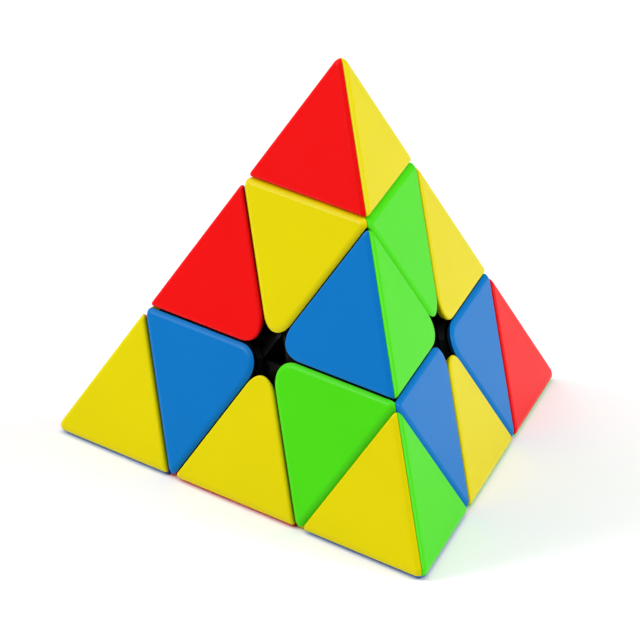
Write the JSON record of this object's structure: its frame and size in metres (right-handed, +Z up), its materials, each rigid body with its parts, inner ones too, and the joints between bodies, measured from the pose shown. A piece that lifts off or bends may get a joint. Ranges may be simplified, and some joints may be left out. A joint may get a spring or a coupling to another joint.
{
  "type": "pyramid twisty puzzle",
  "caption": "Scrambled tetrahedral twisty puzzle with coloured plastic caps, turning corner layers and turning tips on a sprung black core.",
  "frame": {"origin": "centre of the core, where the four turning axes meet", "axes": "+Z up through the top vertex; -Y towards the front vertex; the flat face below, at -Z, rests on the table"},
  "size_m": [0.0962, 0.0838, 0.079],
  "materials": {
    "red_plastic": "satin moulded ABS",
    "yellow_plastic": "satin moulded ABS",
    "green_plastic": "satin moulded ABS",
    "blue_plastic": "satin moulded ABS",
    "black_nylon": "moulded nylon",
    "screw_steel": "zinc plated",
    "spring_steel": "drawn wire"
  },
  "bodies": {
    "core": {"core_spider": "black_nylon", "top_screw": "screw_steel", "top_spring": "spring_steel", "front_screw": "screw_steel", "front_spring": "spring_steel", "right_screw": "screw_steel", "right_spring": "spring_steel", "left_screw": "screw_steel", "left_spring": "spring_steel"},
    "corner_top": {"top_corner_body": "black_nylon", "top_corner_cap_yellow": "yellow_plastic", "top_corner_cap_green": "green_plastic", "top_corner_cap_red": "red_plastic"},
    "tip_top": {"top_tip_base": "black_nylon", "top_tip_cap_red": "red_plastic", "top_tip_cap_yellow": "yellow_plastic", "top_tip_cap_green": "green_plastic"},
    "corner_front": {"front_corner_body": "black_nylon", "front_corner_cap_green": "green_plastic", "front_corner_cap_blue": "blue_plastic", "front_corner_cap_yellow": "yellow_plastic"},
    "tip_front": {"front_tip_base": "black_nylon", "front_tip_cap_yellow": "yellow_plastic", "front_tip_cap_green": "green_plastic", "front_tip_cap_blue": "blue_plastic"},
    "corner_right": {"right_corner_body": "black_nylon", "right_corner_cap_blue": "blue_plastic", "right_corner_cap_red": "red_plastic", "right_corner_cap_green": "green_plastic"},
    "tip_right": {"right_tip_base": "black_nylon", "right_tip_cap_red": "red_plastic", "right_tip_cap_green": "green_plastic", "right_tip_cap_blue": "blue_plastic"},
    "corner_left": {"left_corner_body": "black_nylon", "left_corner_cap_blue": "blue_plastic", "left_corner_cap_yellow": "yellow_plastic", "left_corner_cap_red": "red_plastic"},
    "tip_left": {"left_tip_base": "black_nylon", "left_tip_cap_yellow": "yellow_plastic", "left_tip_cap_red": "red_plastic", "left_tip_cap_blue": "blue_plastic"},
    "edge_top_left": {"edge_top_left_body": "black_nylon", "edge_top_left_cap_red": "red_plastic", "edge_top_left_cap_blue": "blue_plastic"},
    "edge_top_front": {"edge_top_front_body": "black_nylon", "edge_top_front_cap_blue": "blue_plastic", "edge_top_front_cap_green": "green_plastic"},
    "edge_top_right": {"edge_top_right_body": "black_nylon", "edge_top_right_cap_yellow": "yellow_plastic", "edge_top_right_cap_blue": "blue_plastic"},
    "edge_left_front": {"edge_left_front_body": "black_nylon", "edge_left_front_cap_yellow": "yellow_plastic", "edge_left_front_cap_red": "red_plastic"},
    "edge_front_right": {"edge_front_right_body": "black_nylon", "edge_front_right_cap_yellow": "yellow_plastic", "edge_front_right_cap_green": "green_plastic"},
    "edge_right_left": {"edge_right_left_body": "black_nylon", "edge_right_left_cap_red": "red_plastic", "edge_right_left_cap_green": "green_plastic"}
  },
  "joints": [
    {"name": "top_layer_turn", "type": "hinge", "parent": "core", "child": "corner_top", "pos_m": [0, 0, 0], "axis": [0, 0, 1], "range_deg": [-240, 120]},
    {"name": "top_tip_turn", "type": "hinge", "parent": "corner_top", "child": "tip_top", "pos_m": [0, 0, 0], "axis": [0, 0, 1], "continuous": true},
    {"name": "front_layer_turn", "type": "hinge", "parent": "core", "child": "corner_front", "pos_m": [0, 0, 0], "axis": [0, -0.9428, -0.3333], "range_deg": [-240, 120]},
    {"name": "front_tip_turn", "type": "hinge", "parent": "corner_front", "child": "tip_front", "pos_m": [0, 0, 0], "axis": [0, -0.9428, -0.3333], "continuous": true},
    {"name": "right_layer_turn", "type": "hinge", "parent": "core", "child": "corner_right", "pos_m": [0, 0, 0], "axis": [0.8165, 0.4714, -0.3333], "range_deg": [-240, 120]},
    {"name": "right_tip_turn", "type": "hinge", "parent": "corner_right", "child": "tip_right", "pos_m": [0, 0, 0], "axis": [0.8165, 0.4714, -0.3333], "continuous": true},
    {"name": "left_layer_turn", "type": "hinge", "parent": "core", "child": "corner_left", "pos_m": [0, 0, 0], "axis": [-0.8165, 0.4714, -0.3333], "range_deg": [-240, 120]},
    {"name": "left_tip_turn", "type": "hinge", "parent": "corner_left", "child": "tip_left", "pos_m": [0, 0, 0], "axis": [-0.8165, 0.4714, -0.3333], "continuous": true},
    {"name": "edge_top_left_in_left_layer", "type": "hinge", "parent": "corner_top", "child": "edge_top_left", "pos_m": [0, 0, 0], "axis": [-0.8165, 0.4714, -0.3333], "range_deg": [-240, 120]},
    {"name": "edge_top_front_in_front_layer", "type": "hinge", "parent": "corner_top", "child": "edge_top_front", "pos_m": [0, 0, 0], "axis": [0, -0.9428, -0.3333], "range_deg": [-240, 120]},
    {"name": "edge_top_right_in_right_layer", "type": "hinge", "parent": "corner_top", "child": "edge_top_right", "pos_m": [0, 0, 0], "axis": [0.8165, 0.4714, -0.3333], "range_deg": [-240, 120]},
    {"name": "edge_left_front_in_front_layer", "type": "hinge", "parent": "corner_left", "child": "edge_left_front", "pos_m": [0, 0, 0], "axis": [0, -0.9428, -0.3333], "range_deg": [-240, 120]},
    {"name": "edge_front_right_in_right_layer", "type": "hinge", "parent": "corner_front", "child": "edge_front_right", "pos_m": [0, 0, 0], "axis": [0.8165, 0.4714, -0.3333], "range_deg": [-240, 120]},
    {"name": "edge_right_left_in_left_layer", "type": "hinge", "parent": "corner_right", "child": "edge_right_left", "pos_m": [0, 0, 0], "axis": [-0.8165, 0.4714, -0.3333], "range_deg": [-240, 120]}
  ],
  "couplings": [
    {"joint": "edge_top_left_in_left_layer", "follows": "left_layer_turn", "ratio": 1},
    {"joint": "edge_top_front_in_front_layer", "follows": "front_layer_turn", "ratio": 1},
    {"joint": "edge_top_right_in_right_layer", "follows": "right_layer_turn", "ratio": 1},
    {"joint": "edge_left_front_in_front_layer", "follows": "front_layer_turn", "ratio": 1},
    {"joint": "edge_front_right_in_right_layer", "follows": "right_layer_turn", "ratio": 1},
    {"joint": "edge_right_left_in_left_layer", "follows": "left_layer_turn", "ratio": 1}
  ]
}
